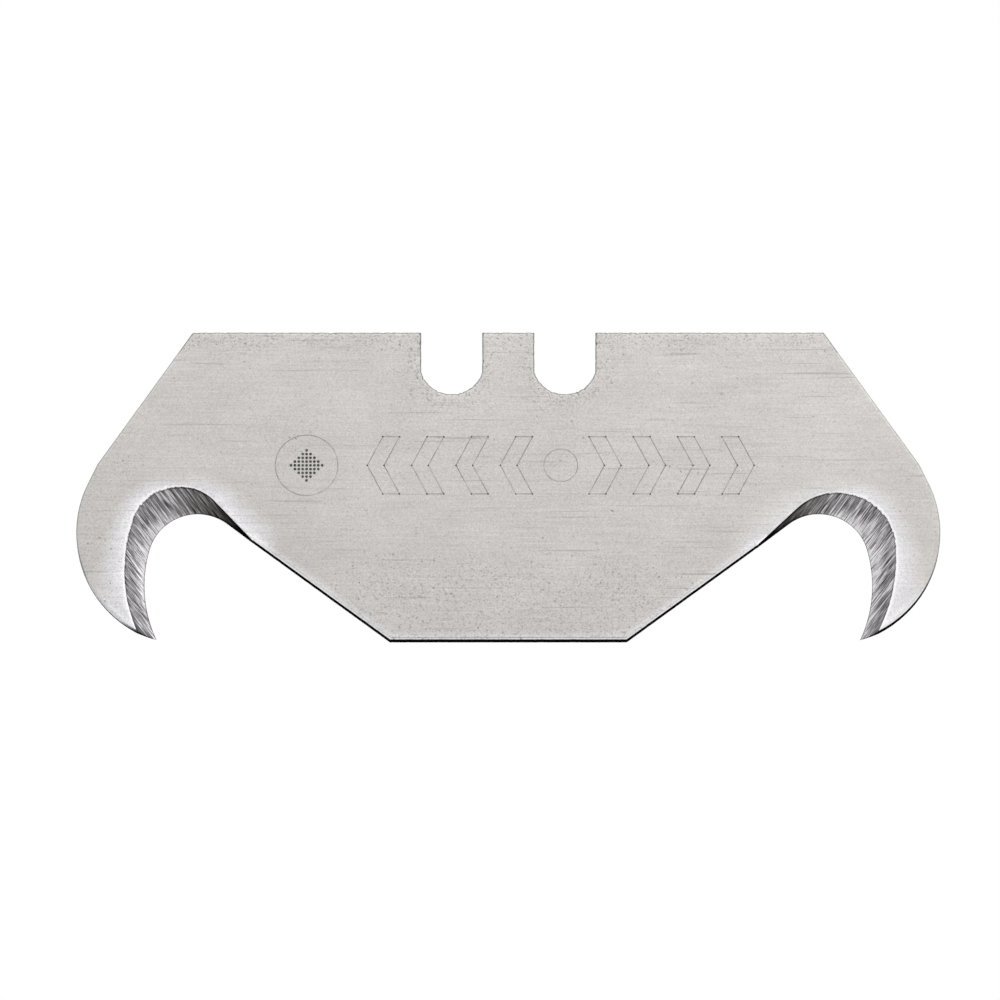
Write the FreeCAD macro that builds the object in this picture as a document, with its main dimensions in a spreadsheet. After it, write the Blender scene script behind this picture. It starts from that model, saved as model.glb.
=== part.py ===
"""Double-ended hook blade for a utility knife: one strip of hardened steel, stamped and ground.

Frame, in millimetres: X runs along the blade, Z points up to the notched back edge, and Y is
the thickness. The origin is the middle of the back edge, halfway between the two notches and
halfway through the thickness. The hooks point down, and the front face looks towards -Y.
"""

import FreeCAD, Part
import math
import os

import Sketcher
from FreeCAD import Placement, Rotation, Vector

NODE = "hook_blade"

# The driving dimensions: lengths in millimetres, angles in degrees.
SIZES = {
    # Strip and outline
    "blade_length": 51.0,            # from hook to hook, at their widest
    "blade_height": 18.8,            # from the back edge to the bottom edge
    "strip_thickness": 0.65,
    "back_edge_length": 37.35,
    "bottom_edge_length": 13.96,
    "corner_span": 48.56,            # between the blunt corners where the end slopes break
    "corner_drop": 8.09,
    "hook_radius": 6.86,             # outside of each hook
    "hook_drop": 12.2,               # from the back edge to the centre of that radius
    "lower_edge_angle": 36.75,       # of the two straight edges below the throats
    # Notches in the back edge
    "notch_pitch": 6.7,
    "notch_width": 3.6,
    "notch_depth": 3.78,
    "notch_floor_radius": 1.86,
    # Cutting edge at mid thickness, the same in both hooks, from the bottom corner onwards
    "edge_run": 11.97,               # straight, in line with the lower edge
    "edge_crown_radius": 2.94,
    "edge_crown_turn": 110.8,
    "edge_flank_radius": 8.0,
    "edge_flank_turn": 48.0,
    # Where the bevels leave the faces: each hook is ground on its own
    "left_bevel_run": 10.1,          # from the bottom corner to the bevel's inner end
    "left_rise_angle": 46.8,
    "left_rise": 3.33,
    "left_crown_radius": 2.85,
    "left_crown_turn": 117.7,
    "left_flank_radius": 9.64,
    "left_flank_turn": 48.0,
    "right_bevel_run": 9.55,
    "right_rise_angle": 43.7,
    "right_rise": 3.37,
    "right_crown_radius": 3.43,
    "right_crown_turn": 129.5,
    "right_flank_radius": 10.16,
    "right_flank_turn": 36.0,
    # Room that the cutting shapes take outside the blade
    "cutter_overrun": 0.9,
    "cutter_floor": 22.0,            # how far below the back edge a throat's cutter reaches
}

# A sketch point is named by its place on an edge: its first end, its last end or its centre.
FIRST, LAST, CENTRE = 1, 2, 3
H_AXIS, V_AXIS = -1, -2
ORIGIN = (-1, 1)


def make_sheet(doc):
    """Put the driving dimensions into the document's spreadsheet, one alias a row."""
    sheet = doc.addObject("Spreadsheet::Sheet", "Sizes")
    for row, (alias, value) in enumerate(SIZES.items(), start=1):
        sheet.set(f"A{row}", alias)
        sheet.set(f"B{row}", str(value))
        sheet.setAlias(f"B{row}", alias)
    doc.recompute()
    return sheet


def new_sketch(body, name, offset="0", turned=False):
    """A sketch on the body's own XZ plane, offset towards the front, or turned about Z.

    The local axes are world X and Z. A turned sketch has its local X towards world -X.
    """
    plane = next(f for f in body.Origin.OriginFeatures if f.Role == "XZ_Plane")
    sketch = body.newObject("Sketcher::SketchObject", name)
    sketch.AttachmentSupport = [(plane, "")]
    sketch.MapMode = "FlatFace"
    half_turn = Rotation(Vector(0, 1, 0), 180 if turned else 0)
    sketch.AttachmentOffset = Placement(Vector(0, 0, 0), half_turn)
    sketch.setExpression("AttachmentOffset.Base.z", offset)
    return sketch


def line(start, end):
    return Part.LineSegment(Vector(*start, 0), Vector(*end, 0))


def arc(centre, radius, from_angle, to_angle):
    """Counter-clockwise arc between two angles in radians."""
    circle = Part.Circle(Vector(*centre, 0), Vector(0, 0, 1), radius)
    return Part.ArcOfCircle(circle, from_angle, to_angle)


def join(sketch, *pairs):
    """Make the two points of each pair coincide."""
    for (edge_a, end_a), (edge_b, end_b) in pairs:
        sketch.addConstraint(Sketcher.Constraint("Coincident", edge_a, end_a, edge_b, end_b))


def tangent(sketch, *pairs):
    """Join the two points of each pair and make their edges tangent there."""
    for (edge_a, end_a), (edge_b, end_b) in pairs:
        sketch.addConstraint(Sketcher.Constraint("Tangent", edge_a, end_a, edge_b, end_b))


def mirror(sketch, *pairs):
    """Make the two points of each pair mirror images across the vertical axis."""
    for (edge_a, end_a), (edge_b, end_b) in pairs:
        across = Sketcher.Constraint("Symmetric", edge_a, end_a, edge_b, end_b, V_AXIS)
        sketch.addConstraint(across)


def dimension(sketch, name, kind, places, value, formula):
    """Add one dimension and bind it to a formula on the spreadsheet."""
    index = sketch.addConstraint(Sketcher.Constraint(kind, *places, value))
    sketch.renameConstraint(index, name)
    sketch.setExpression("Constraints." + name, formula)


def blank_outline(body, size):
    """Outer outline of the blade, with both throats still closed by a straight edge."""
    half_length = size("blade_length") / 2
    radius = size("hook_radius")
    top = (size("back_edge_length") / 2, 0)
    corner = (size("corner_span") / 2, -size("corner_drop"))
    centre = (half_length - radius, -size("hook_drop"))
    bottom = (size("bottom_edge_length") / 2, -size("blade_height"))
    belly = (centre[0], centre[1] - radius)

    # The short edge below the corner is the tangent from the corner to the hook's arc.
    reach = math.dist(corner, centre)
    bearing = math.atan2(corner[1] - centre[1], corner[0] - centre[0])
    touch_angle = bearing - math.acos(radius / reach)
    touch = (centre[0] + radius * math.cos(touch_angle), centre[1] + radius * math.sin(touch_angle))

    def left(point):
        return (-point[0], point[1])

    sketch = new_sketch(body, "BlankOutline")
    edges = [
        line(left(top), top),
        line(top, corner),
        line(corner, touch),
        arc(centre, radius, -math.pi / 2, touch_angle),
        line(belly, bottom),
        line(bottom, left(bottom)),
        line(left(bottom), left(belly)),
        arc(left(centre), radius, math.pi - touch_angle, 1.5 * math.pi),
        line(left(touch), left(corner)),
        line(left(corner), left(top)),
    ]
    back, slope, facet, hook, closing, floor, l_closing, l_hook, l_facet, l_slope = range(10)
    sketch.addGeometry(edges, False)

    join(sketch, ((back, LAST), (slope, FIRST)), ((slope, LAST), (facet, FIRST)))
    join(sketch, ((hook, FIRST), (closing, FIRST)), ((closing, LAST), (floor, FIRST)))
    join(sketch, ((floor, LAST), (l_closing, FIRST)), ((l_closing, LAST), (l_hook, LAST)))
    join(sketch, ((l_facet, LAST), (l_slope, FIRST)), ((l_slope, LAST), (back, FIRST)))
    tangent(sketch, ((facet, LAST), (hook, LAST)), ((l_facet, FIRST), (l_hook, FIRST)))
    mirror(sketch, ((back, FIRST), (back, LAST)), ((slope, LAST), (l_slope, FIRST)))
    mirror(sketch, ((floor, LAST), (floor, FIRST)), ((l_hook, CENTRE), (hook, CENTRE)))
    sketch.addConstraint(Sketcher.Constraint("Equal", hook, l_hook))
    sketch.addConstraint(Sketcher.Constraint("Vertical", hook, CENTRE, hook, FIRST))
    sketch.addConstraint(Sketcher.Constraint("Vertical", l_hook, CENTRE, l_hook, LAST))
    sketch.addConstraint(Sketcher.Constraint("PointOnObject", back, LAST, H_AXIS))

    dimension(sketch, "back_length", "DistanceX", (back, FIRST, back, LAST),
              2 * top[0], "Sizes.back_edge_length")
    dimension(sketch, "corner_out", "DistanceX", (*ORIGIN, slope, LAST),
              corner[0], "Sizes.corner_span / 2")
    dimension(sketch, "corner_down", "DistanceY", (slope, LAST, *ORIGIN),
              -corner[1], "Sizes.corner_drop")
    dimension(sketch, "hook_out", "DistanceX", (*ORIGIN, hook, CENTRE),
              centre[0], "Sizes.blade_length / 2 - Sizes.hook_radius")
    dimension(sketch, "hook_down", "DistanceY", (hook, CENTRE, *ORIGIN),
              -centre[1], "Sizes.hook_drop")
    dimension(sketch, "hook_round", "Radius", (hook,), radius, "Sizes.hook_radius")
    dimension(sketch, "bottom_length", "DistanceX", (floor, LAST, floor, FIRST),
              2 * bottom[0], "Sizes.bottom_edge_length")
    dimension(sketch, "bottom_down", "DistanceY", (floor, FIRST, *ORIGIN),
              -bottom[1], "Sizes.blade_height")
    return sketch


def notch_outline(body, size, side):
    """One notch: straight sides and a round floor, open above the back edge."""
    half_width = size("notch_width") / 2
    radius = size("notch_floor_radius")
    across = side * size("notch_pitch") / 2
    centre = (across, radius - size("notch_depth"))
    above = size("cutter_overrun")
    meet_angle = math.acos(half_width / radius)
    meet_height = centre[1] - radius * math.sin(meet_angle)

    sketch = new_sketch(body, "RightNotch" if side > 0 else "LeftNotch")
    edges = [
        line((across - half_width, above), (across - half_width, meet_height)),
        arc(centre, radius, math.pi + meet_angle, 2 * math.pi - meet_angle),
        line((across + half_width, meet_height), (across + half_width, above)),
        line((across + half_width, above), (across - half_width, above)),
    ]
    inner, floor, outer, lid = range(4)
    sketch.addGeometry(edges, False)

    join(sketch, ((inner, LAST), (floor, FIRST)), ((floor, LAST), (outer, FIRST)))
    join(sketch, ((outer, LAST), (lid, FIRST)), ((lid, LAST), (inner, FIRST)))
    sketch.addConstraint(Sketcher.Constraint("Vertical", inner))
    sketch.addConstraint(Sketcher.Constraint("Vertical", outer))
    sketch.addConstraint(Sketcher.Constraint("Horizontal", lid))
    sketch.addConstraint(Sketcher.Constraint("Horizontal", inner, LAST, outer, FIRST))

    axis_to_centre = (*ORIGIN, floor, CENTRE) if side > 0 else (floor, CENTRE, *ORIGIN)
    dimension(sketch, "pitch_half", "DistanceX", axis_to_centre,
              abs(across), "Sizes.notch_pitch / 2")
    dimension(sketch, "floor_down", "DistanceY", (floor, CENTRE, *ORIGIN),
              -centre[1], "Sizes.notch_depth - Sizes.notch_floor_radius")
    dimension(sketch, "floor_round", "Radius", (floor,), radius, "Sizes.notch_floor_radius")
    dimension(sketch, "width", "DistanceX", (lid, LAST, lid, FIRST),
              2 * half_width, "Sizes.notch_width")
    dimension(sketch, "above_edge", "DistanceY", (*ORIGIN, lid, FIRST),
              above, "Sizes.cutter_overrun")
    return sketch


def throat_section(body, name, offset, turned, terms, evaluate):
    """One section of a throat's cutter, at one depth in the strip.

    From its start past the bottom corner it follows the straight lower edge, leaves it at the
    bevel's inner end, rises straight to the crown, goes over the crown and down the flank,
    and closes below the blade. terms gives each length and turn as a spreadsheet formula.
    """
    value = {key: evaluate(formula) for key, formula in terms.items()}
    lower = math.radians(evaluate("Sizes.lower_edge_angle"))
    rise = math.radians(value["rise_angle"])
    corner = (evaluate("Sizes.bottom_edge_length") / 2, -evaluate("Sizes.blade_height"))
    overrun = evaluate("Sizes.cutter_overrun")
    floor_height = -evaluate("Sizes.cutter_floor")

    def along(point, angle, distance):
        return (point[0] + distance * math.cos(angle), point[1] + distance * math.sin(angle))

    start = along(corner, lower, -overrun)
    leave = along(corner, lower, value["bevel_run"])
    spring = along(leave, rise, value["rise"])
    crown_start = rise + math.pi / 2
    crown_end = crown_start - math.radians(value["crown_turn"])
    flank_end = crown_end - math.radians(value["flank_turn"])
    crown_centre = along(spring, crown_start, -value["crown_radius"])
    shoulder = along(crown_centre, crown_end, value["crown_radius"])
    flank_centre = along(shoulder, crown_end, -value["flank_radius"])
    tail = along(flank_centre, flank_end, value["flank_radius"])

    sketch = new_sketch(body, name, offset, turned)
    edges = [
        line(start, leave),
        line(leave, spring),
        arc(crown_centre, value["crown_radius"], crown_end, crown_start),
        arc(flank_centre, value["flank_radius"], flank_end, crown_end),
        line(tail, (tail[0], floor_height)),
        line((tail[0], floor_height), (start[0], floor_height)),
        line((start[0], floor_height), start),
    ]
    straight, ramp, crown, flank, drop, floor, riser = range(7)
    sketch.addGeometry(edges, False)
    corner_mark = sketch.addGeometry(Part.Point(Vector(*corner, 0)), True)

    join(sketch, ((straight, LAST), (ramp, FIRST)), ((flank, FIRST), (drop, FIRST)))
    join(sketch, ((drop, LAST), (floor, FIRST)), ((floor, LAST), (riser, FIRST)))
    join(sketch, ((riser, LAST), (straight, FIRST)))
    tangent(sketch, ((ramp, LAST), (crown, LAST)), ((crown, FIRST), (flank, LAST)))
    sketch.addConstraint(Sketcher.Constraint("Vertical", drop))
    sketch.addConstraint(Sketcher.Constraint("Horizontal", floor))
    sketch.addConstraint(Sketcher.Constraint("Vertical", riser))
    sketch.addConstraint(Sketcher.Constraint("PointOnObject", corner_mark, FIRST, straight))

    dimension(sketch, "corner_out", "DistanceX", (*ORIGIN, corner_mark, FIRST),
              corner[0], "Sizes.bottom_edge_length / 2")
    dimension(sketch, "corner_down", "DistanceY", (corner_mark, FIRST, *ORIGIN),
              -corner[1], "Sizes.blade_height")
    dimension(sketch, "lower_angle", "Angle", (straight,),
              lower, "Sizes.lower_edge_angle * 1 deg")
    dimension(sketch, "overrun", "Distance", (straight, FIRST, corner_mark, FIRST),
              overrun, "Sizes.cutter_overrun")
    dimension(sketch, "bevel_run", "Distance", (corner_mark, FIRST, straight, LAST),
              value["bevel_run"], terms["bevel_run"])
    dimension(sketch, "rise_angle", "Angle", (ramp,),
              rise, f"({terms['rise_angle']}) * 1 deg")
    dimension(sketch, "rise", "Distance", (ramp,), value["rise"], terms["rise"])
    for part, edge in (("crown", crown), ("flank", flank)):
        dimension(sketch, part + "_radius", "Radius", (edge,),
                  value[part + "_radius"], terms[part + "_radius"])
        dimension(sketch, part + "_turn", "Angle", (edge,),
                  math.radians(value[part + "_turn"]), f"({terms[part + '_turn']}) * 1 deg")
    dimension(sketch, "floor_down", "DistanceY", (drop, LAST, *ORIGIN),
              -floor_height, "Sizes.cutter_floor")
    return sketch


def shoulder_terms(side_name):
    """Where one hook's bevels leave the faces."""
    keys = ("bevel_run", "rise_angle", "rise", "crown_radius", "crown_turn",
            "flank_radius", "flank_turn")
    return {key: f"Sizes.{side_name}_{key}" for key in keys}


def edge_terms(side_name):
    """The cutting edge, split at the same place as that hook's shoulder line."""
    return {
        "bevel_run": f"Sizes.{side_name}_bevel_run",
        "rise_angle": "Sizes.lower_edge_angle",
        "rise": f"Sizes.edge_run - Sizes.{side_name}_bevel_run",
        "crown_radius": "Sizes.edge_crown_radius",
        "crown_turn": "Sizes.edge_crown_turn",
        "flank_radius": "Sizes.edge_flank_radius",
        "flank_turn": "Sizes.edge_flank_turn",
    }


def cut_notch(body, size, side):
    """Punch one notch right through the strip."""
    pocket = body.newObject("PartDesign::Pocket", "RightNotchCut" if side > 0 else "LeftNotchCut")
    pocket.Profile = notch_outline(body, size, side)
    pocket.Type = "ThroughAll"
    pocket.Midplane = True
    return pocket


def grind_throat(body, side_name, turned, evaluate):
    """Open one throat with its two bevels, which meet at the edge halfway through the strip."""
    face = "Sizes.strip_thickness / 2"
    title = side_name.capitalize()
    depths = (("Front", face, shoulder_terms), ("Edge", "0", edge_terms),
              ("Back", "-" + face, shoulder_terms))
    sections = [
        throat_section(body, title + depth + "Section", offset, turned,
                       terms(side_name), evaluate)
        for depth, offset, terms in depths
    ]
    grind = body.newObject("PartDesign::SubtractiveLoft", title + "ThroatGrind")
    grind.Profile = sections[0]
    grind.Sections = sections[1:]
    grind.Ruled = True
    return grind


def expect_cut(doc, body, feature, least_volume):
    """Recompute, and stop unless the feature removed at least this much material."""
    before = body.Shape.Volume
    doc.recompute()
    removed = before - feature.Shape.Volume
    if removed < least_volume:
        raise RuntimeError(f"{feature.Name} removed {removed:.3f} mm3, under {least_volume}")
    return removed


def hook_blade(doc, size, evaluate):
    """The whole blade: blank, two notches, two ground throats."""
    body = doc.addObject("PartDesign::Body", "HookBlade")
    body.Label = NODE

    blank = body.newObject("PartDesign::Pad", "Blank")
    blank.Profile = blank_outline(body, size)
    blank.Midplane = True
    blank.setExpression("Length", "Sizes.strip_thickness")
    doc.recompute()

    notch_box = size("notch_width") * size("notch_depth") * size("strip_thickness")
    for side in (-1, 1):
        expect_cut(doc, body, cut_notch(body, size, side), 0.8 * notch_box)
    throat_box = size("hook_radius") ** 2 * size("strip_thickness")
    for side_name, turned in (("left", True), ("right", False)):
        expect_cut(doc, body, grind_throat(body, side_name, turned, evaluate), 0.8 * throat_box)
    return body


def check(doc, body):
    """Stop on any failed object, loose sketch or bad shape."""
    for obj in doc.Objects:
        if "Invalid" in obj.State or "Error" in obj.State:
            raise RuntimeError(f"{obj.Name} failed: {obj.State}")
        if obj.TypeId == "Sketcher::SketchObject" and not obj.FullyConstrained:
            raise RuntimeError(f"{obj.Name} isn't fully constrained")
    shape = body.Shape
    if shape.isNull() or not shape.isValid() or len(shape.Solids) != 1:
        raise RuntimeError("the blade isn't one valid solid")


def main():
    doc = FreeCAD.newDocument("HookBlade")
    sheet = make_sheet(doc)

    def size(alias):
        return float(sheet.get(alias))

    def evaluate(formula):
        return float(sheet.evalExpression(formula.replace("Sizes.", "")))

    body = hook_blade(doc, size, evaluate)
    doc.recompute()
    check(doc, body)

    os.makedirs("parts", exist_ok=True)
    body.Shape.exportStep(f"parts/{body.Label}.step")
    box = body.Shape.optimalBoundingBox()
    print(f"{body.Label}: {box.XLength:.3f} x {box.YLength:.3f} x {box.ZLength:.3f} mm,"
          f" {body.Shape.Volume:.2f} mm3, {len(body.Shape.Faces)} faces")


main()
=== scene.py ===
"""Looks of a double-ended utility-knife hook blade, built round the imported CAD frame.

The blade is one closed mesh.  Its outline, shoulders and thickness are read from the CAD node.
Grinding streaks, ragged shoulders, a honed edge, rounded rims and rough sheared walls are added.
A second piece holds the etched mark: a dotted diamond in a ring, and a row of arrows.
Lengths are in millimetres until a mesh is written, in metres.
"""
import math

import bpy
import numpy as np
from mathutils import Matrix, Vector
from mathutils.geometry import delaunay_2d_cdt
from numpy.linalg import norm


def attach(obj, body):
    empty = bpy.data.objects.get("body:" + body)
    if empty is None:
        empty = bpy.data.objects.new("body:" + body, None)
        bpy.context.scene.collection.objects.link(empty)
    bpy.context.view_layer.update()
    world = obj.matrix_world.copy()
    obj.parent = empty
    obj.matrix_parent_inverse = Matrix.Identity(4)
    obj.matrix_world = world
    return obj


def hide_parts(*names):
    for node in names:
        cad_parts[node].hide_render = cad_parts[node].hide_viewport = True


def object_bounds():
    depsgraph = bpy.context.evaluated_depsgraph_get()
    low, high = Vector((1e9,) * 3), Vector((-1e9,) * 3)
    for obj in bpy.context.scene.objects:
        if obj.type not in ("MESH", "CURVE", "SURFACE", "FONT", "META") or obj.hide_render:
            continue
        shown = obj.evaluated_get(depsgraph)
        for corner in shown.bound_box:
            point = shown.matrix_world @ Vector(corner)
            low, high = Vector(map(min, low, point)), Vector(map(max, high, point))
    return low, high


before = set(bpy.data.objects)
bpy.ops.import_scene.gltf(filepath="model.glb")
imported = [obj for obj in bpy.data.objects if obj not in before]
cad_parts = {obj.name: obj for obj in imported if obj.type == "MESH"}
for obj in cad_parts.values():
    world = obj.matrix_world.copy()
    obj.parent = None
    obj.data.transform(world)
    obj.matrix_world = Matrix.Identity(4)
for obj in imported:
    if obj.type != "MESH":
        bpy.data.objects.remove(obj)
cad_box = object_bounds()

MM = 0.001
BLOCK = 400  # points measured at a time
CAD_NODE = "hook_blade"

# Reading the CAD mesh.
LEVEL_FACING = 0.9999  # a triangle whose normal leans this far to the front is flat
LEVEL_GAP = 0.0001  # points nearer than this to the middle plane lie in it
SHARP_TURN = math.radians(40)  # a shoulder ends where the flat's outline turns by more
CORNER_TURN = math.radians(20)
LONG_CHORD = 1.2  # longer chords are straight edges, shorter ones belong to arcs

# Spacing of the mesh points.
OUTLINE_PITCH = 0.12
EDGE_PITCH = 0.05
SHOULDER_PITCH = 0.045
STREAK_PITCH = 0.036  # across the grinding streaks
STREAK_STEP = 0.19  # along them
FACE_GRID = 0.8
FACE_CLEAR = 0.6  # from the border
HALO_GRID = 0.25
HALO_CLEAR = 0.12
HALO_REACH = 2.6
ROW_CLEAR = 0.06  # from the rim's rows to a shoulder
STREAK_CLEAR = 0.016  # from the streaks' points to a bevel's border
HONE_CLEAR = 0.018  # and to the honed edge

# Shape of the rims and the cutting edge.
RIM_RADIUS = 0.014
RIM_ROWS = (0.134, 0.5, 1.0)  # insets of the rounding's rows, in rim radii
RIM_UNEVEN = 0.004  # how uneven the sheared rim is
BACK_UNEVEN = 0.012  # the same, added at the back edge
NOTCH_ZONE = (6.5, 4.5)  # half the width and the depth of the part round the notches
NICK_SHARE = 0.07  # share of the back edge's points that are nicked
NICK_DEPTH = (0.015, 0.055)
SETTLE_ROWS = (0.16, 0.3, 0.45)
SETTLE_DEPTH = 0.005  # how far the face bends down to the rims
SMOOTH_LIMIT = math.radians(38)  # edges sharper than this are shaded sharp
HONE_SLOPE = 0.364  # a honed edge of 20 degrees a side
HONE_DEPTH = 0.08  # how far the main bevels would pass beyond the honed edge
HONE_WIDTH = 0.07
LIP_END = 0.28  # the wall thins to nothing over this share of the cutting edge, from its inner end

# Grinding.
STREAK_ANGLE = math.radians(52)
GROOVE_HEIGHT = 0.0030
TOOTH_LENGTH = 0.1  # how far the streaks run past the shoulder
TOOTH_SHORT = 0.05  # how far short of it they stop in the inner half

# Painted shade on the ground steel, from the inner end of each bevel (0) to the tip (1); near black at the
# inner end.
BEVEL_SHADE_SWEEP = (0.0, 0.1, 0.2, 0.3, 0.4, 0.5, 0.6, 0.71, 0.84, 0.95, 1.0)
BEVEL_SHADE_LEVEL = {
    -1: (0.004, 0.009, 0.060, 0.190, 0.37, 0.43, 0.39, 0.325, 0.245, 0.24, 0.27),
    1: (0.004, 0.013, 0.080, 0.205, 0.41, 0.46, 0.46, 0.355, 0.305, 0.32, 0.33),
}

HOOK_OFFSET = 40  # keeps the streaks of the two hooks apart
LEFT_HIGHLIGHT_FROM = (17.6, 19.2)  # the left outer arc gets a painted highlight beyond this distance from the middle

# The bright halo beside each shoulder: how far it reaches and how strong it is along the shoulder.
HALO_PLACE = (0.0, 0.18, 0.32, 0.46, 0.62, 0.78, 1.0)
HALO_FALL = (1.7, 1.6, 0.9, 1.1, 1.3, 1.9, 1.9)
HALO_GAIN = {
    -1: (0.51, 0.50, 0.19, 0.50, 0.62, 0.60, 0.38),
    1: (0.27, 0.21, 0.19, 0.42, 0.32, 0.42, 0.44),
}

# First numbers of the random draws.
RIM_SEED = 11
FACE_SEED = 5
WALL_SEED = 23
BEVEL_SEED = 40
BEVEL_SEED_STEP = 9
BACK_SEED_STEP = 100

# Sheared walls.
WALL_ROWS = (-0.72, -0.42, -0.18, 0.1, 0.4, 0.72)  # from the front rim (-1) to the back rim (1)
WALL_ROUGHNESS = (0.0, 0.002, 0.006, 0.008, 0.007, 0.003)


# ------------------------ small geometry helpers

def unit(vectors):
    """Vectors of length one."""
    lengths = norm(vectors, axis=-1, keepdims=True)
    return vectors / np.maximum(lengths, 1e-12)


def closed(points):
    """A line of points with the first repeated at its end."""
    return np.vstack([points, points[:1]])


def lattice(across, along):
    """Every pair of the two sets of numbers, as points."""
    return np.column_stack([part.ravel() for part in np.meshgrid(across, along)])


def ring_edges(count):
    """The edges of a closed ring of points, as pairs of their numbers."""
    return [(i, (i + 1) % count) for i in range(count)]


def inside(points, polygon):
    """Which points lie within a closed polygon."""
    result = np.zeros(len(points), bool)
    for (x0, z0), (x1, z1) in zip(polygon, np.roll(polygon, -1, axis=0)):
        if z0 == z1:
            continue
        crosses = (points[:, 1] < z0) != (points[:, 1] < z1)
        reach = x0 + (points[:, 1] - z0) * (x1 - x0) / (z1 - z0)
        result ^= crosses & (points[:, 0] < reach)
    return result


def nearest(points, line):
    """Distance from each point to a line, and how far along it (0 to 1) the nearest place is."""
    starts = line[:-1]
    spans = np.diff(line, axis=0)
    lengths = norm(spans, axis=1)
    begins = np.concatenate([[0.0], np.cumsum(lengths)])
    gaps, places = np.empty((2, len(points)))
    for first in range(0, len(points), BLOCK):
        part = slice(first, first + BLOCK)
        reach = points[part, None, :] - starts[None]
        share = (reach * spans[None]).sum(2) / np.maximum(lengths ** 2, 1e-18)[None]
        share = share.clip(0, 1)
        distance = norm(reach - share[..., None] * spans[None], axis=2)
        best = distance.argmin(1)
        rows = np.arange(len(best))
        gaps[part] = distance[rows, best]
        places[part] = begins[best] + share[rows, best] * lengths[best]
    return gaps, places / begins[-1]


def smooth_steps(values, low, high):
    """0 below low, 1 above high, and a soft S between."""
    share = ((values - low) / (high - low)).clip(0, 1)
    return share * share * (3 - 2 * share)


def lattice_noise(seed, across, along):
    """Random heights from -1 to 1 on whole numbers, with straight lines between."""
    table = np.random.default_rng(seed).uniform(-1, 1, (1024, 64))
    i = np.floor(across).astype(int)
    j = np.floor(along).astype(int)
    s = across - i
    t = along - j
    low, high = [table[k % 1024, j % 64] * (1 - t) + table[k % 1024, (j + 1) % 64] * t for k in (i, i + 1)]
    return low * (1 - s) + high * s


# ------------------------ the outline, from the CAD node

def directed(triangles):
    """Every edge of the triangles, in their own direction."""
    return [(t[i], t[(i + 1) % 3]) for t in triangles.tolist() for i in range(3)]


def turn(before, here, after):
    """The angle by which a path turns at a point."""
    first, second = unit(here - before), unit(after - here)
    return math.acos(float(np.clip(first.dot(second), -1, 1)))


def cutting_edges(points, triangles):
    """The cutting edges, each from its bevel's inner end to the tip."""
    level = np.abs(points[:, 1]) < LEVEL_GAP
    pairs = {(p, q) for p, q in directed(triangles) if level[p] and level[q]}
    result = []
    for sign in (1, -1):
        own = {}
        for p, q in sorted(pairs):
            if points[p, 0] * sign > 0:
                own.setdefault(p, set()).add(q)
        ends = sorted((p for p in own if len(own[p]) == 1), key=lambda p: abs(points[p, 0]))
        chain = [ends[0]]
        while chain[-1] != ends[-1]:
            chain.append((own[chain[-1]] - set(chain[-2:])).pop())
        edge = points[chain][:, [0, 2]]
        start = edge[0] + unit(edge[1] - edge[0]) * EDGE_PITCH
        result.append(np.vstack([edge[:1], start, edge[1:]]))
    return result


def arc_on(points, stop, pitch):
    """Points that carry an arc through three points on, up to a stop."""
    a, b, c = points
    rows = np.array([b - a, c - a])
    centre = a + np.linalg.solve(rows, (rows ** 2).sum(1) / 2)
    radius = norm(c - centre)
    start = math.atan2(*(c - centre)[::-1])
    sweep = math.atan2(*(stop - centre)[::-1]) - start
    sweep = (sweep + math.pi) % (2 * math.pi) - math.pi
    angles = start + sweep * np.linspace(0, 1, math.ceil(abs(sweep) * radius / pitch) + 1)[1:-1]
    return centre + radius * np.column_stack([np.cos(angles), np.sin(angles)])


def read_blade(cad_object):
    """The outline and the bevels' shoulders, as rows of X, Z and half the thickness there."""
    places = np.array([v.co for v in cad_object.data.vertices], float) / MM
    points, index = np.unique(places.round(5), axis=0, return_inverse=True)
    cad_object.data.calc_loop_triangles()
    corners = np.array([t.vertices for t in cad_object.data.loop_triangles])
    triangles = index.reshape(-1)[corners]
    a, b, c = points[triangles].transpose(1, 0, 2)
    facing = -unit(np.cross(b - a, c - a))[:, 1]
    half = -points[:, 1].min()
    sides = set(directed(triangles[facing > LEVEL_FACING]))
    onward = {p: q for p, q in sides if (q, p) not in sides}
    chain = [min(onward)]
    while onward[chain[-1]] != chain[0]:
        chain.append(onward[chain[-1]])
    loop = points[chain][:, [0, 2]]
    edges = cutting_edges(points, triangles)
    shoulders = []
    for edge in edges:
        begin = int(norm(loop - edge[0], axis=1).argmin())
        step = 1 if edge[0, 0] > 0 else -1
        loop = np.roll(loop[::step], -(begin if step > 0 else len(loop) - 1 - begin), axis=0)
        end = next(i for i in range(2, len(loop)) if turn(*loop[i - 1:i + 2]) > SHARP_TURN)
        shoulders.append(np.column_stack([loop[:end + 1], np.full(end + 1, half)]))
        tail = arc_on(loop[[end + 2, end + 1, end]], edge[-1], OUTLINE_PITCH)
        loop = np.vstack([loop[:1], edge[1:], tail[::-1], loop[end:]])[::step]
    sharp = np.vstack([edge[1:] for edge in edges])
    gap = norm(loop[:, None] - sharp[None], axis=2).min(1)
    return np.column_stack([loop, np.where(gap < LEVEL_GAP, 0.0, half)]), shoulders


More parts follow.
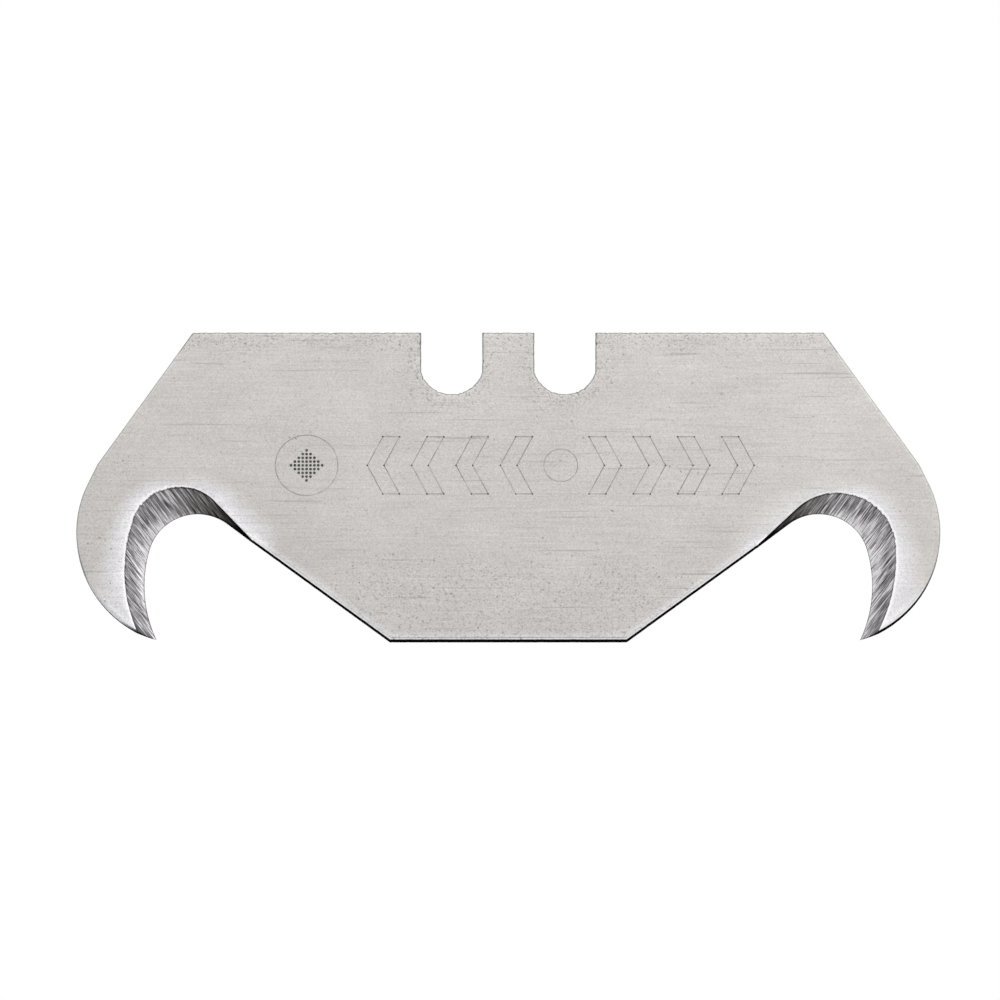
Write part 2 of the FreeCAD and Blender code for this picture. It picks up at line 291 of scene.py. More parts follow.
def bowed(run, pitch, fine_pitch):
    """Even points along a run of chords, with short chords bent into the arcs they stand for."""
    steps = np.diff(run[:, :2], axis=0)
    lengths = norm(steps, axis=1)
    heads = unit(steps)
    straight = lengths > LONG_CHORD
    tangents = np.empty((len(run), 2))
    for i in range(1, len(run) - 1):
        if straight[i - 1]:
            tangents[i] = heads[i - 1]
        elif straight[i]:
            tangents[i] = heads[i]
        else:
            tangents[i] = unit(heads[i - 1] * lengths[i] + heads[i] * lengths[i - 1])
    for end, inner in ((0, 1), (-1, -2)):
        tangents[end] = head = heads[end]
        if len(run) > 2 and not straight[end]:
            tangents[end] = 2 * head.dot(tangents[inner]) * head - tangents[inner]
    points = [run[0]]
    for i, length in enumerate(lengths):
        sharp = run[i, 2] < LEVEL_GAP and run[i + 1, 2] < LEVEL_GAP
        count = math.ceil(length / (fine_pitch if sharp else pitch))
        for s in np.arange(1, count) / count:
            level = run[i] * (1 - s) + run[i + 1] * s
            if not straight[i]:
                level[:2] = (run[i, :2] * (2 * s ** 3 - 3 * s ** 2 + 1)
                             + run[i + 1, :2] * (3 * s ** 2 - 2 * s ** 3)
                             + tangents[i] * length * (s ** 3 - 2 * s ** 2 + s)
                             + tangents[i + 1] * length * (s ** 3 - s ** 2))
            points.append(level)
        points.append(run[i + 1])
    return np.array(points)


def resampled_outline(loop):
    """The outline at an even pitch, cornered where the CAD outline is."""
    heads = unit(np.roll(loop, -1, axis=0)[:, :2] - loop[:, :2])
    turns = np.arccos((heads * np.roll(heads, 1, axis=0)).sum(1).clip(-1, 1))
    corners = np.flatnonzero(turns > CORNER_TURN)
    points = np.roll(loop, -corners[0], axis=0)
    stops = np.append(corners - corners[0], len(points))
    ring = closed(points)
    runs = [bowed(ring[a:b + 1], OUTLINE_PITCH, EDGE_PITCH)[:-1] for a, b in zip(stops, stops[1:])]
    return np.vstack(runs)


def outward(points):
    """Outward normals of a closed outline that runs anticlockwise."""
    along = unit(np.roll(points, -1, axis=0)[:, :2] - np.roll(points, 1, axis=0)[:, :2])
    return np.column_stack([along[:, 1], -along[:, 0]])


def roughened(outline, normals):
    """The outline of a sheared rim: finely uneven, with burrs and nicks at the back."""
    rng = np.random.default_rng(RIM_SEED)
    x, z, height = outline.T
    wall = height > LEVEL_GAP
    back = (z > -0.05) | ((np.abs(x) < NOTCH_ZONE[0]) & (z > -NOTCH_ZONE[1]))
    depth = np.abs(rng.normal(0, RIM_UNEVEN, len(outline)))
    depth[back] += np.abs(rng.normal(0, BACK_UNEVEN, back.sum()))
    nicked = back & (rng.random(len(outline)) < NICK_SHARE)
    depth[nicked] += rng.uniform(*NICK_DEPTH, nicked.sum())
    depth[~wall] = 0
    moved = outline.copy()
    moved[:, :2] -= normals * depth[:, None]
    return moved


# ------------------------ grinding streaks

def streak_places(points):
    """How far across and along the grinding streaks each point lies; the hooks mirror each other."""
    side = np.abs(points[:, 0])
    across = side * math.sin(STREAK_ANGLE) - points[:, 1] * math.cos(STREAK_ANGLE)
    along = side * math.cos(STREAK_ANGLE) + points[:, 1] * math.sin(STREAK_ANGLE)
    return np.column_stack([across, along])


def from_streak_places(places, sign):
    """The points of the hook on one side that lie at places among the streaks."""
    across, along = places.T
    side = across * math.sin(STREAK_ANGLE) + along * math.cos(STREAK_ANGLE)
    z = along * math.sin(STREAK_ANGLE) - across * math.cos(STREAK_ANGLE)
    return np.column_stack([side * sign, z])


def grooves(points, seed):
    """Height of the ground surface's streaks, from about -1 to 1."""
    across, along = streak_places(points).T
    rows = across / STREAK_PITCH
    fine = lattice_noise(seed, rows, along / 1.4 + rows * 0.37)
    middle = lattice_noise(seed + 1, rows / 2.6, along / 2.4 + 5)
    broad = lattice_noise(seed + 2, rows / 8, along / 4)
    return 0.70 * fine + 0.35 * middle + 0.12 * broad


def streak_rows(polygon, sign, seed):
    """Points within a bevel, in rows that run along its grinding streaks."""
    places = streak_places(polygon)
    low, high = places.min(0), places.max(0)
    across = np.arange(low[0] // STREAK_PITCH, high[0] / STREAK_PITCH) * STREAK_PITCH
    along = np.arange(low[1], high[1], STREAK_STEP)
    grid = lattice(across, along)
    grid[:, 1] += np.random.default_rng(seed).uniform(-0.3, 0.3, len(grid)) * STREAK_STEP
    points = from_streak_places(grid, sign)
    return points[inside(points, polygon)]


def toothed(shoulder, seed):
    """The shoulder, slid along the streaks as far as each groove overruns it."""
    points = shoulder[:, :2].copy()
    sign = np.sign(points[:, 0].mean())
    heads = unit(np.gradient(points, axis=0))
    streak = np.array([sign * math.cos(STREAK_ANGLE), math.sin(STREAK_ANGLE)])
    crossing = np.abs(heads[:, 0] * streak[1] - heads[:, 1] * streak[0])
    place = np.linspace(0, 1, len(points))
    if abs(points[0, 0]) > abs(points[-1, 0]):
        place = place[::-1]
    short = TOOTH_SHORT * smooth_steps(place, 0.0, 0.05) * (1 - smooth_steps(place, 0.35, 0.5))
    slide = (TOOTH_LENGTH * grooves(points, seed) - short) * crossing
    slide[[0, -1]] = 0
    places = streak_places(points)
    places[:, 1] += slide
    return from_streak_places(places, sign)


# ------------------------ the blade's mesh

def triangulated(points, edges, placed):
    """Triangles within the edges, found with the points placed elsewhere."""
    result = delaunay_2d_cdt([Vector(p) for p in placed], edges, [], 1, 1e-7)
    numbers = [origin[0] for origin in result[3]]
    triangles = np.array([[numbers[i] for i in face] for face in result[2]])
    a, b, c = points[triangles].transpose(1, 0, 2)
    area = np.cross(b - a, c - a)
    triangles[area < 0] = triangles[area < 0][:, ::-1]
    return triangles[np.abs(area) > 1e-9]


def rim_points(outline, normals, insets):
    """Rows of points at each inset from the outline, without those that would crowd a corner."""
    ring = closed(outline)
    rows = []
    for inset in insets:
        row = outline - normals * inset
        gap = nearest(row, ring)[0]
        rows.append(row[inside(row, outline) & (gap > 0.86 * inset)])
    return np.vstack(rows)


def grid_points(polygon, pitch, rng):
    """A slightly shaken square grid within a closed polygon."""
    points = lattice(*[np.arange(low, high, pitch) for low, high in zip(polygon.min(0), polygon.max(0))])
    points += rng.uniform(-0.12, 0.12, points.shape) * pitch
    return points[inside(points, polygon)]


def stretch(start, stop, count):
    """Numbers from start round to stop, both included, on a loop of count points."""
    return [(start + k) % count for k in range((stop - start) % count + 1)]


class Sheet:
    """One side of the blade seen flat: its points, and triangles for the face and each bevel."""

    def __init__(self, cad_object):
        loop, shoulders = read_blade(cad_object)
        self.half = loop[:, 2].max()
        outline = resampled_outline(loop)
        self.normals = outward(outline)
        rough = roughened(outline, self.normals)
        self.cutting = outline[:, 2] < LEVEL_GAP
        self.outline = rough[:, :2]
        self.count = len(outline)
        self.points = self.outline.copy()
        self.bevels = []
        for order, shoulder in enumerate(shoulders):
            seed = BEVEL_SEED + BEVEL_SEED_STEP * order
            self.add_bevel(bowed(shoulder, SHOULDER_PITCH, SHOULDER_PITCH), outline, seed)
        self.fill_face()

    def add_points(self, points):
        """Keeps the points and returns their numbers."""
        first = len(self.points)
        self.points = np.vstack([self.points, points])
        return list(range(first, first + len(points)))

    def add_bevel(self, shoulder, outline, seed):
        """Lays out a bevel between its shoulder and its cutting edge."""
        sign = np.sign(shoulder[:, 0].mean())
        ends = [int(norm(outline[:, :2] - end[:2], axis=1).argmin()) for end in shoulder[[0, -1]]]
        teeth = toothed(shoulder, seed)
        ridge = [ends[0]] + self.add_points(teeth[1:-1]) + [ends[1]]
        rim = stretch(ends[0], ends[1], self.count)
        if len(rim) > self.count / 2:
            rim = stretch(ends[1], ends[0], self.count)
            ridge = ridge[::-1]
        edge = [i for i in rim if self.cutting[i]]
        ring = rim + ridge[::-1][1:-1]
        polygon = self.points[ring]
        border = closed(polygon)

        hone_line = self.points[edge] - self.normals[edge] * HONE_WIDTH
        keep = inside(hone_line, polygon) & (nearest(hone_line, border)[0] > 0.9 * HONE_WIDTH)
        hone_line = hone_line[keep]
        middle = (self.points[edge] - self.normals[edge] * HONE_WIDTH / 2)[keep]
        rows = streak_rows(polygon, sign, seed)
        clear = nearest(rows, border)[0] > STREAK_CLEAR
        clear &= nearest(rows, self.points[edge])[0] > HONE_WIDTH + HONE_CLEAR

        hone_numbers = self.add_points(hone_line)
        own = ring + hone_numbers + self.add_points(middle) + self.add_points(rows[clear])
        local = {number: i for i, number in enumerate(own)}
        edges = ring_edges(len(ring))
        steps = norm(np.diff(hone_line, axis=0), axis=1)
        edges += [(local[a], local[b]) for a, b, step in zip(hone_numbers, hone_numbers[1:], steps)
                  if step < 3 * EDGE_PITCH]
        placed = streak_places(self.points[own]) * (1.0, STREAK_PITCH / STREAK_STEP)
        triangles = triangulated(self.points[own], edges, placed)
        self.bevels.append({
            "sign": sign, "seed": seed, "ridge": ridge, "edge": edge, "rim": rim,
            "triangles": np.array(own)[triangles], "own": np.array(sorted(set(own))),
        })

    def ridge_gap(self, points):
        """Distance from each point to the nearer shoulder."""
        return np.min([nearest(points, self.points[bevel["ridge"]])[0] for bevel in self.bevels], axis=0)

    def face_ring(self):
        """The face's border: the outline, with a shoulder in place of each bevel's rim."""
        skipped = {i for bevel in self.bevels for i in bevel["rim"][1:-1]}
        starts = {bevel["rim"][0]: bevel for bevel in self.bevels}
        first = next(i for i in range(self.count) if i not in skipped and i not in starts)
        ring = []
        position = first
        while True:
            ring.append(position)
            if position in starts:
                ridge = starts[position]["ridge"]
                ring += ridge[1:-1]
                position = ridge[-1]
            else:
                position = (position + 1) % self.count
            if position == first:
                return ring

    def fill_face(self):
        """Lays out the flat face between the outline and the shoulders."""
        ring = self.face_ring()
        polygon = self.points[ring]
        border = closed(polygon)
        rng = np.random.default_rng(FACE_SEED)

        insets = [RIM_RADIUS * row for row in RIM_ROWS] + list(SETTLE_ROWS)
        rows = rim_points(self.outline, self.normals, insets)
        rows = rows[inside(rows, polygon)]
        rows = rows[self.ridge_gap(rows) > ROW_CLEAR]
        coarse = grid_points(polygon, FACE_GRID, rng)
        coarse = coarse[(nearest(coarse, border)[0] > FACE_CLEAR) & (self.ridge_gap(coarse) > HALO_REACH)]
        fine = grid_points(polygon, HALO_GRID, rng)
        fine = fine[(self.ridge_gap(fine) < HALO_REACH) & (nearest(fine, border)[0] > HALO_CLEAR)]
        wall_gap = nearest(fine, closed(self.outline))[0]
        fine = fine[wall_gap > max(SETTLE_ROWS) + 0.1]
        own = ring + self.add_points(rows) + self.add_points(coarse) + self.add_points(fine)
        edges = ring_edges(len(ring))
        triangles = triangulated(self.points[own], edges, self.points[own])
        self.face = np.array(own)[triangles]

    def wall_line(self):
        """The outline without its cutting edges, as separate open lines."""
        order = np.roll(np.arange(self.count), -int(np.flatnonzero(self.cutting)[0]))
        walls = order[~self.cutting[order]]
        breaks = np.flatnonzero(np.diff(walls) % self.count != 1) + 1
        return [self.outline[run] for run in np.split(walls, breaks)]


def survey(sheet):
    """Every point's gaps to walls, edges and shoulders, and its place along them."""
    points = sheet.points
    wall_gap = np.min([nearest(points, run)[0] for run in sheet.wall_line()], axis=0)
    close = [int(((sheet.outline - point) ** 2).sum(1).argmin()) for point in points]
    facts = {"wall_gap": wall_gap, "wall_down": -sheet.normals[close][:, 1]}
    side = points[:, 0] > 0
    for name in ("edge_gap", "sweep", "ridge_gap", "ridge_place"):
        facts[name] = np.zeros(len(points))
    for bevel in sheet.bevels:
        own = side == (bevel["sign"] > 0)
        for line, gap, place in (("edge", "edge_gap", "sweep"), ("ridge", "ridge_gap", "ridge_place")):
            path = sheet.points[bevel[line]]
            facts[gap][own], facts[place][own] = nearest(points[own], path)
            if abs(path[0, 0]) > abs(path[-1, 0]):
                facts[place][own] = 1 - facts[place][own]
    facts["lip"] = (sheet.half - RIM_RADIUS) * (1 - facts["sweep"] / LIP_END).clip(0, 1)
    return facts


def heights(sheet, facts, seed):
    """Height of each point above the middle plane, on one side of the blade."""
    half = sheet.half
    result = np.full(len(sheet.points), half)
    for bevel in sheet.bevels:
        own = bevel["own"]
        edge_gap, ridge_gap, lip = [facts[name][own] for name in ("edge_gap", "ridge_gap", "lip")]
        width = edge_gap + ridge_gap
        beyond = np.minimum(HONE_DEPTH, 0.15 * width)
        ground = lip + (half - lip) * (edge_gap + beyond) / (width + beyond + 1e-9)
        fade = smooth_steps(edge_gap, HONE_WIDTH, 3 * HONE_WIDTH) * smooth_steps(ridge_gap, 0, 0.08)
        ground = ground + GROOVE_HEIGHT * grooves(sheet.points[own], bevel["seed"] + seed) * fade
        slope = np.maximum(HONE_SLOPE, 1.6 * half / (width + 1e-9))
        ground = np.minimum(ground, lip + slope * edge_gap)
        ground[np.isin(own, bevel["ridge"])] = half
        result[own] = np.minimum(ground, half)
    gap = facts["wall_gap"]
    rounded = (1 - np.sqrt(1 - (1 - gap / RIM_RADIUS).clip(0, 1) ** 2)) * RIM_RADIUS
    settled = SETTLE_DEPTH * (1 - gap / max(SETTLE_ROWS)).clip(0, 1) ** 2
    result = result * (1 - rounded / half) - settled * (result > 0.9 * half)
    rim = slice(0, sheet.count)
    result[rim] = np.where(sheet.cutting, facts["lip"][rim], result[rim])
    return result


def wall_points(sheet, walls, front, back):
    """Columns of points down the sheared wall, torn inwards a little."""
    rng = np.random.default_rng(WALL_SEED)
    thick = -front / sheet.half
    places = np.empty((len(walls), len(WALL_ROWS), 3))
    for k, (level, rough) in enumerate(zip(WALL_ROWS, WALL_ROUGHNESS)):
        depth = rough * thick * np.abs(rng.normal(0, 1, len(walls)))
        spot = sheet.outline[walls] - sheet.normals[walls] * depth[:, None]
        places[:, k] = np.column_stack([spot[:, 0], front + (back - front) * (level + 1) / 2, spot[:, 1]])
    return places.reshape(-1, 3)


def wall_triangles(columns, count):
    """Triangles between neighbouring columns, closed on one point beside the cutting edge."""
    triangles = []
    for i in range(count):
        j = (i + 1) % count
        here, there = columns.get(i), columns.get(j)
        if here is None and there is None:
            continue
        for k in range(len(WALL_ROWS) + 1):
            if here is None:
                triangles.append((i, there[k + 1], there[k]))
            elif there is None:
                triangles.append((here[k], here[k + 1], j))
            else:
                triangles.append((here[k], here[k + 1], there[k]))
                triangles.append((there[k], here[k + 1], there[k + 1]))
    return np.array(triangles)


def build_blade(cad_object):
    """The whole blade: front and back sheets, sheared walls between them, and cutting edges."""
    sheet = Sheet(cad_object)
    facts = survey(sheet)
    count = len(sheet.points)
    sharp = np.zeros(count, bool)
    sharp[:sheet.count] = sheet.cutting & (facts["lip"][:sheet.count] < 1e-3)
    x, z = sheet.points.T
    front_height = heights(sheet, facts, 0)
    back_height = heights(sheet, facts, BACK_SEED_STEP)
    back_number = np.cumsum(~sharp) - 1 + count
    back_number[sharp] = np.flatnonzero(sharp)

    verts = [np.column_stack([x, -front_height, z]), np.column_stack([x, back_height, z])[~sharp]]
    source = [np.arange(count), np.flatnonzero(~sharp)]
    faces = []
    slots = []
    for number, triangles in enumerate([sheet.face] + [bevel["triangles"] for bevel in sheet.bevels]):
        faces += [triangles, back_number[triangles][:, ::-1]]
        slots += [np.full(2 * len(triangles), min(number, 1))]

    walls = np.flatnonzero(~sharp[:sheet.count])
    first = sum(len(part) for part in verts)
    rows = len(WALL_ROWS)
    verts.append(wall_points(sheet, walls, -front_height[walls], back_height[walls]))
    source.append(np.repeat(walls, rows))
    columns = {}
    for order, i in enumerate(walls):
        inner = list(range(first + order * rows, first + (order + 1) * rows))
        columns[i] = [i] + inner + [back_number[i]]
    faces.append(wall_triangles(columns, sheet.count))
    slots.append(np.full(len(faces[-1]), 2))

    source = np.concatenate(source)
    values = {name: fact[source] for name, fact in facts.items()}
    verts = np.vstack(verts)
    paint_blade(sheet, values, source)
    return mesh_object("ground_blade", verts, np.vstack(faces), np.concatenate(slots), values)


def worn_share(points, wall_gap):
    """How pitted the face is, most of all round the notches and at the back edge."""
    x, z = points.T
    back = (z > -1.2) | ((np.abs(x) < 7.5) & (z > -5.2))
    low = smooth_steps(-z, 12.5, 15.5) * (1 - smooth_steps(np.abs(x), 8.0, 12.0))
    flank = smooth_steps(-x, 20.5, 23.0) * smooth_steps(-z, 4.0, 8.0)
    worn = np.maximum(0.75 * low, 0.25 * flank)
    return np.maximum(worn, np.where(back, 1 - smooth_steps(wall_gap, 0.5, 1.6), 0.0))


def by_side(right, places, stops, levels):
    """A level read off each hook's own curve."""
    return np.where(right, np.interp(places, stops, levels[1]), np.interp(places, stops, levels[-1]))


def paint_blade(sheet, values, source):
    """Adds what the materials read: halo, painted shade and light on the bevels, streaks, a painted highlight
    on the left outer arc, and worn parts.
    """
    points = sheet.points[source]
    right = points[:, 0] > 0
    gap, place, sweep, down = [values[name] for name in ("ridge_gap", "ridge_place", "sweep", "wall_down")]
    fall = np.interp(place, HALO_PLACE, HALO_FALL)
    values["halo"] = by_side(right, place, HALO_PLACE, HALO_GAIN) * (1 - gap / fall).clip(0, 1) ** 1.2
    depth = values["edge_gap"] / (values["edge_gap"] + gap + 1e-6)
    # Painted light on the bevels: lighter towards the cutting edge and a little darker near the shoulder,
    # from the middle of each bevel on.
    lit = smooth_steps(sweep, 0.3, 0.5) * (1 - 0.7 * smooth_steps(sweep, 0.72, 0.95))
    slope = 1.35 * (1 - smooth_steps(depth, 0.0, 0.6)) - 0.16 * smooth_steps(depth, 0.5, 0.9)
    values["bevel_shade"] = by_side(right, sweep, BEVEL_SHADE_SWEEP, BEVEL_SHADE_LEVEL) * (1 + lit * slope)
    # Painted highlight on the left outer arc's rim and wall, where they face partly down.
    bright = smooth_steps(down, 0.3, 0.5) * (1 - smooth_steps(down, 0.76, 0.9))
    values["left_highlight"] = bright * smooth_steps(-points[:, 0], *LEFT_HIGHLIGHT_FROM)
    streaks = streak_places(points)
    values["across"] = streaks[:, 0] + HOOK_OFFSET * right
    values["along"] = streaks[:, 1]
    values["groove"] = np.zeros(len(points))
    for bevel in sheet.bevels:
        mine = right == (bevel["sign"] > 0)
        values["groove"][mine] = grooves(points[mine], bevel["seed"])
    values["worn"] = worn_share(points, values["wall_gap"])


def added(name, data):
    """A new object in the scene."""
    made = bpy.data.objects.new(name, data)
    bpy.context.scene.collection.objects.link(made)
    return made


def mesh_object(name, verts, faces, slots, values):
    """A mesh object in metres, with a material slot for each face and an attribute for each value."""
    mesh = bpy.data.meshes.new(name)
    mesh.from_pydata((verts * MM).tolist(), [], faces.tolist())
    mesh.polygons.foreach_set("material_index", np.asarray(slots, np.int32))
    mesh.polygons.foreach_set("use_smooth", np.ones(len(faces), bool))
    mesh.update()
    mesh.set_sharp_from_angle(angle=SMOOTH_LIMIT)
    for key, value in values.items():
        layer = mesh.attributes.new(key, "FLOAT", "POINT")
        layer.data.foreach_set("value", np.asarray(value, np.float32))
    return added(name, mesh)


# ------------------------ the etched mark

MARK_LINE = 0.055  # width of the etched lines
MARK_PROUD = 0.002  # how far they stand above the face
MARK_SUNK = 0.01
MARK_DOT = 0.055  # radius of the dots where the lines turn
EMBLEM_MIDDLE = (-11.92, -8.15)
EMBLEM_RADIUS = 1.85
EMBLEM_DOTS = 4  # from the middle of the diamond to its corners
EMBLEM_PITCH = 0.23
EMBLEM_DOT = 0.088
ARROW_ROW = -8.15  # height of the row of arrows
ARROW_PITCH = 2.62
ARROW_MIDDLE = 3.1  # where the ring between the arrows lies
RING_RADIUS = 1.0
ARROW_SIZE = (1.9, 3.5)
ARROW_COUNT = 4  # on each side of the ring


def circle(middle, radius, count):
    """Points round a circle."""
    angles = np.arange(count) * 2 * math.pi / count
    return np.array(middle) + radius * np.column_stack([np.cos(angles), np.sin(angles)])


def chevron(middle, sign):
    """The outline of a chevron that points along X in the direction of the sign."""
    width, height = ARROW_SIZE
    corners = [(-0.5, 0.5), (0.02, 0.5), (0.5, 0.0), (0.02, -0.5), (-0.5, -0.5), (-0.02, 0.0)]
    return np.array([(middle[0] + sign * x * width, middle[1] + z * height) for x, z in corners])


def prism(ring, front, back):
    """A closed solid: a ring of points in X and Z, between two depths."""
    count = len(ring)
    verts = np.array([(x, y, z) for y in (front, back) for x, z in ring])
    faces = [(0, k, k + 1) for k in range(1, count - 1)]
    faces += [(count, count + k + 1, count + k) for k in range(1, count - 1)]
    for k in range(count):
        after = (k + 1) % count
        faces += [(k, count + k, count + after), (k, count + after, after)]
    return verts, faces


def ribbon(path, front, back):
    """A closed solid that follows a closed path of points, as wide as an etched line."""
    count = len(path)
    heads = unit(np.roll(path, -1, axis=0) - path)
    tails = np.roll(heads, 1, axis=0)
    sides = unit(np.column_stack([-heads[:, 1] - tails[:, 1], heads[:, 0] + tails[:, 0]]))
    across = np.column_stack([-heads[:, 1], heads[:, 0]])
    reach = MARK_LINE / 2 / np.maximum((sides * across).sum(1), 0.4)
    outer = path - sides * reach[:, None]
    inner = path + sides * reach[:, None]
    verts = np.array([(x, y, z) for y in (front, back) for ring in (outer, inner) for x, z in ring])
    faces = []
    loops = (0, count, 3 * count, 2 * count)
    for k in range(count):
        after = (k + 1) % count
        for here, there in zip(loops, loops[1:] + loops[:1]):
            faces += [(here + k, here + after, there + after), (here + k, there + after, there + k)]
    return verts, faces


def build_mark(half):
    """The etched mark: a dotted diamond in a ring, and arrows that say the blade reverses."""
    x, z = EMBLEM_MIDDLE
    paths = [circle(EMBLEM_MIDDLE, EMBLEM_RADIUS, 72), circle((ARROW_MIDDLE, ARROW_ROW), RING_RADIUS, 48)]
    dots = []
    steps = range(-EMBLEM_DOTS, EMBLEM_DOTS + 1)
    spots = [(x + i * EMBLEM_PITCH, z + j * EMBLEM_PITCH) for i in steps for j in steps
             if abs(i) + abs(j) <= EMBLEM_DOTS]
    for sign in (-1, 1):
        for k in range(ARROW_COUNT):
            middle = (ARROW_MIDDLE + sign * (k + 1) * ARROW_PITCH, ARROW_ROW)
            outline = chevron(middle, sign)
            paths.append(outline[::sign])
            dots += list(outline)
    verts, faces, slots = [], [], []
    first = 0
    front, back = -half - MARK_PROUD, -half + MARK_SUNK
    solids = [(0, ribbon(path, front, back)) for path in paths]
    solids += [(1, prism(circle(dot, MARK_DOT, 8), front - MARK_PROUD, back)) for dot in dots]
    solids += [(1, prism(circle(spot, EMBLEM_DOT, 10), front, back)) for spot in spots]
    for slot, (own_verts, own_faces) in solids:
        verts.append(own_verts)
        faces.append(np.array(own_faces) + first)
        slots.append(np.full(len(own_faces), slot))
        first += len(own_verts)
    return mesh_object("etched_mark", np.vstack(verts), np.vstack(faces), np.concatenate(slots), {})


# ------------------------ materials

FINE_GRAIN = 11500  # cells to a metre


class Nodes:
    """A node tree being built."""

    def __init__(self, tree):
        self.tree = tree

    def put(self, socket, value):
        """Links or sets an input."""
        if isinstance(value, bpy.types.NodeSocket):
            self.tree.links.new(value, socket)
        else:
            socket.default_value = value

    def node(self, kind, inputs=None, **settings):
        """A new node, its inputs given as numbers or as other nodes' outputs."""
        made = self.tree.nodes.new("ShaderNode" + kind)
        for key, value in settings.items():
            setattr(made, key, value)
        for key, value in (inputs or {}).items():
            self.put(made.inputs[key], value)
        return made

    def add(self, kind, inputs=None, **settings):
        """The first output of a new node."""
        return self.node(kind, inputs, **settings).outputs[0]

    def value(self, name):
        """One of the mesh's painted values."""
        return self.node("Attribute", attribute_name=name).outputs["Fac"]

    def math(self, operation, a, b=0.0, c=0.0):
        """One sum."""
        return self.add("Math", {0: a, 1: b, 2: c}, operation=operation)

    def product(self, a, b):
        """Two levels multiplied."""
        return self.math("MULTIPLY", a, b)

    def line(self, level, gain, start):
        """A level times a gain, plus a start."""
        return self.math("MULTIPLY_ADD", level, gain, start)

    def spread(self, value, low, high, to_low, to_high, kind="LINEAR"):
        """A value taken from one range into another, and held at its ends."""
        return self.add("MapRange", {"Value": value, "From Min": low, "From Max": high,
                                     "To Min": to_low, "To Max": to_high}, interpolation_type=kind)

    def ease(self, value, low, high, to_low=0.0, to_high=1.0):
        """The same along a soft S."""
        return self.spread(value, low, high, to_low, to_high, kind="SMOOTHSTEP")

    def dim(self, level, mask, share):
        """A level lowered by a share where the mask is 1."""
        return self.product(level, self.math("SUBTRACT", 1.0, self.product(mask, share)))

    def blend(self, low, high, share):
        """A level that goes from low to high as the share goes from 0 to 1."""
        return self.math("ADD", low, self.product(share, self.math("SUBTRACT", high, low)))

    def profile(self, value, stops):
        """A curve through (value, level) stops, joined by straight lines."""
        first, last = stops[0][0], stops[-1][0]
        top = max(level for _, level in stops)
        node = self.node("ValToRGB", {0: self.spread(value, first, last, 0.0, 1.0)})
        ramp = node.color_ramp
        while len(ramp.elements) < len(stops):
            ramp.elements.new(0.5)
        for element, (place, level) in zip(ramp.elements, stops):
            element.position = (place - first) / (last - first)
            element.color = rgb(level / top, level / top, level / top)
        return self.product(node.outputs[0], top)

    def spot(self):
        """Object coordinates, in metres."""
        return self.node("TexCoord").outputs["Object"]

    def place(self, scale):
        """Object coordinates times a scale for each axis."""
        return self.add("VectorMath", {0: self.spot(), 1: scale}, operation="MULTIPLY")

    def noise(self, scale, detail=2.0, rough=0.5):
        """Soft noise from 0 to 1, its scale in cells to a metre for all axes or for each."""
        place = self.place(scale if isinstance(scale, tuple) else (scale,) * 3)
        return self.add("TexNoise", {"Vector": place, "Scale": 1.0, "Detail": detail, "Roughness": rough})

    def streaks(self, width, length, detail):
        """Noise with cells to a millimetre across and along the grinding streaks."""
        place = self.add("CombineXYZ", {0: self.product(self.value("across"), width),
                                        1: self.product(self.value("along"), length)})
        return self.add("TexNoise", {"Vector": place, "Scale": 1.0, "Detail": detail, "Roughness": 0.55},
                        noise_dimensions="2D")

    def pits(self, size, share, radius):
        """Small ragged spots in a share of a grid's cells; 1 in a spot."""
        spot = self.node("SeparateXYZ", {0: self.spot()}).outputs
        shift = self.line(self.noise(9000, detail=1.0), 0.00016, -0.00008)
        place = self.add("CombineXYZ", {0: self.math("ADD", spot[0], shift),
                                        1: self.math("SUBTRACT", spot[2], shift)})
        cells = self.node("TexVoronoi", {"Vector": place}, voronoi_dimensions="2D")
        cells.inputs["Scale"].default_value = 1 / (size * MM)
        chance = self.node("SeparateColor", {0: cells.outputs["Color"]}).outputs
        reach = self.line(chance[1], radius / size, 0.3 * radius / size)
        near = self.math("DIVIDE", cells.outputs["Distance"], reach)
        chosen = self.math("LESS_THAN", chance[0], share)
        return self.product(chosen, self.ease(near, 0.5, 1.0, 1.0, 0.0))


class Shader(Nodes):
    """A material being built."""

    def __init__(self, name):
        self.material = bpy.data.materials.new(name)
        self.material.use_nodes = True
        super().__init__(self.material.node_tree)
        self.surface = self.tree.nodes["Principled BSDF"]

    def steel(self, level, tints, share, roughness, height, relief, metallic=1.0):
        """Finishes the material; its grey leans from the first tint to the second by a share."""
        tint = self.node("Mix", {0: share, 6: tints[0], 7: tints[1]}, data_type="RGBA").outputs[2]
        colour = self.add("VectorMath", {0: tint, 3: level}, operation="SCALE")
        distance, strength = relief
        bump = self.add("Bump", {"Height": height, "Distance": distance, "Strength": strength})
        settings = {"Base Color": colour, "Metallic": metallic, "Roughness": roughness, "Normal": bump}
        for key, value in settings.items():
            self.put(self.surface.inputs[key], value)
        return self.material


def rgb(r, g, b):
    """A colour with full alpha."""
    return (r, g, b, 1.0)


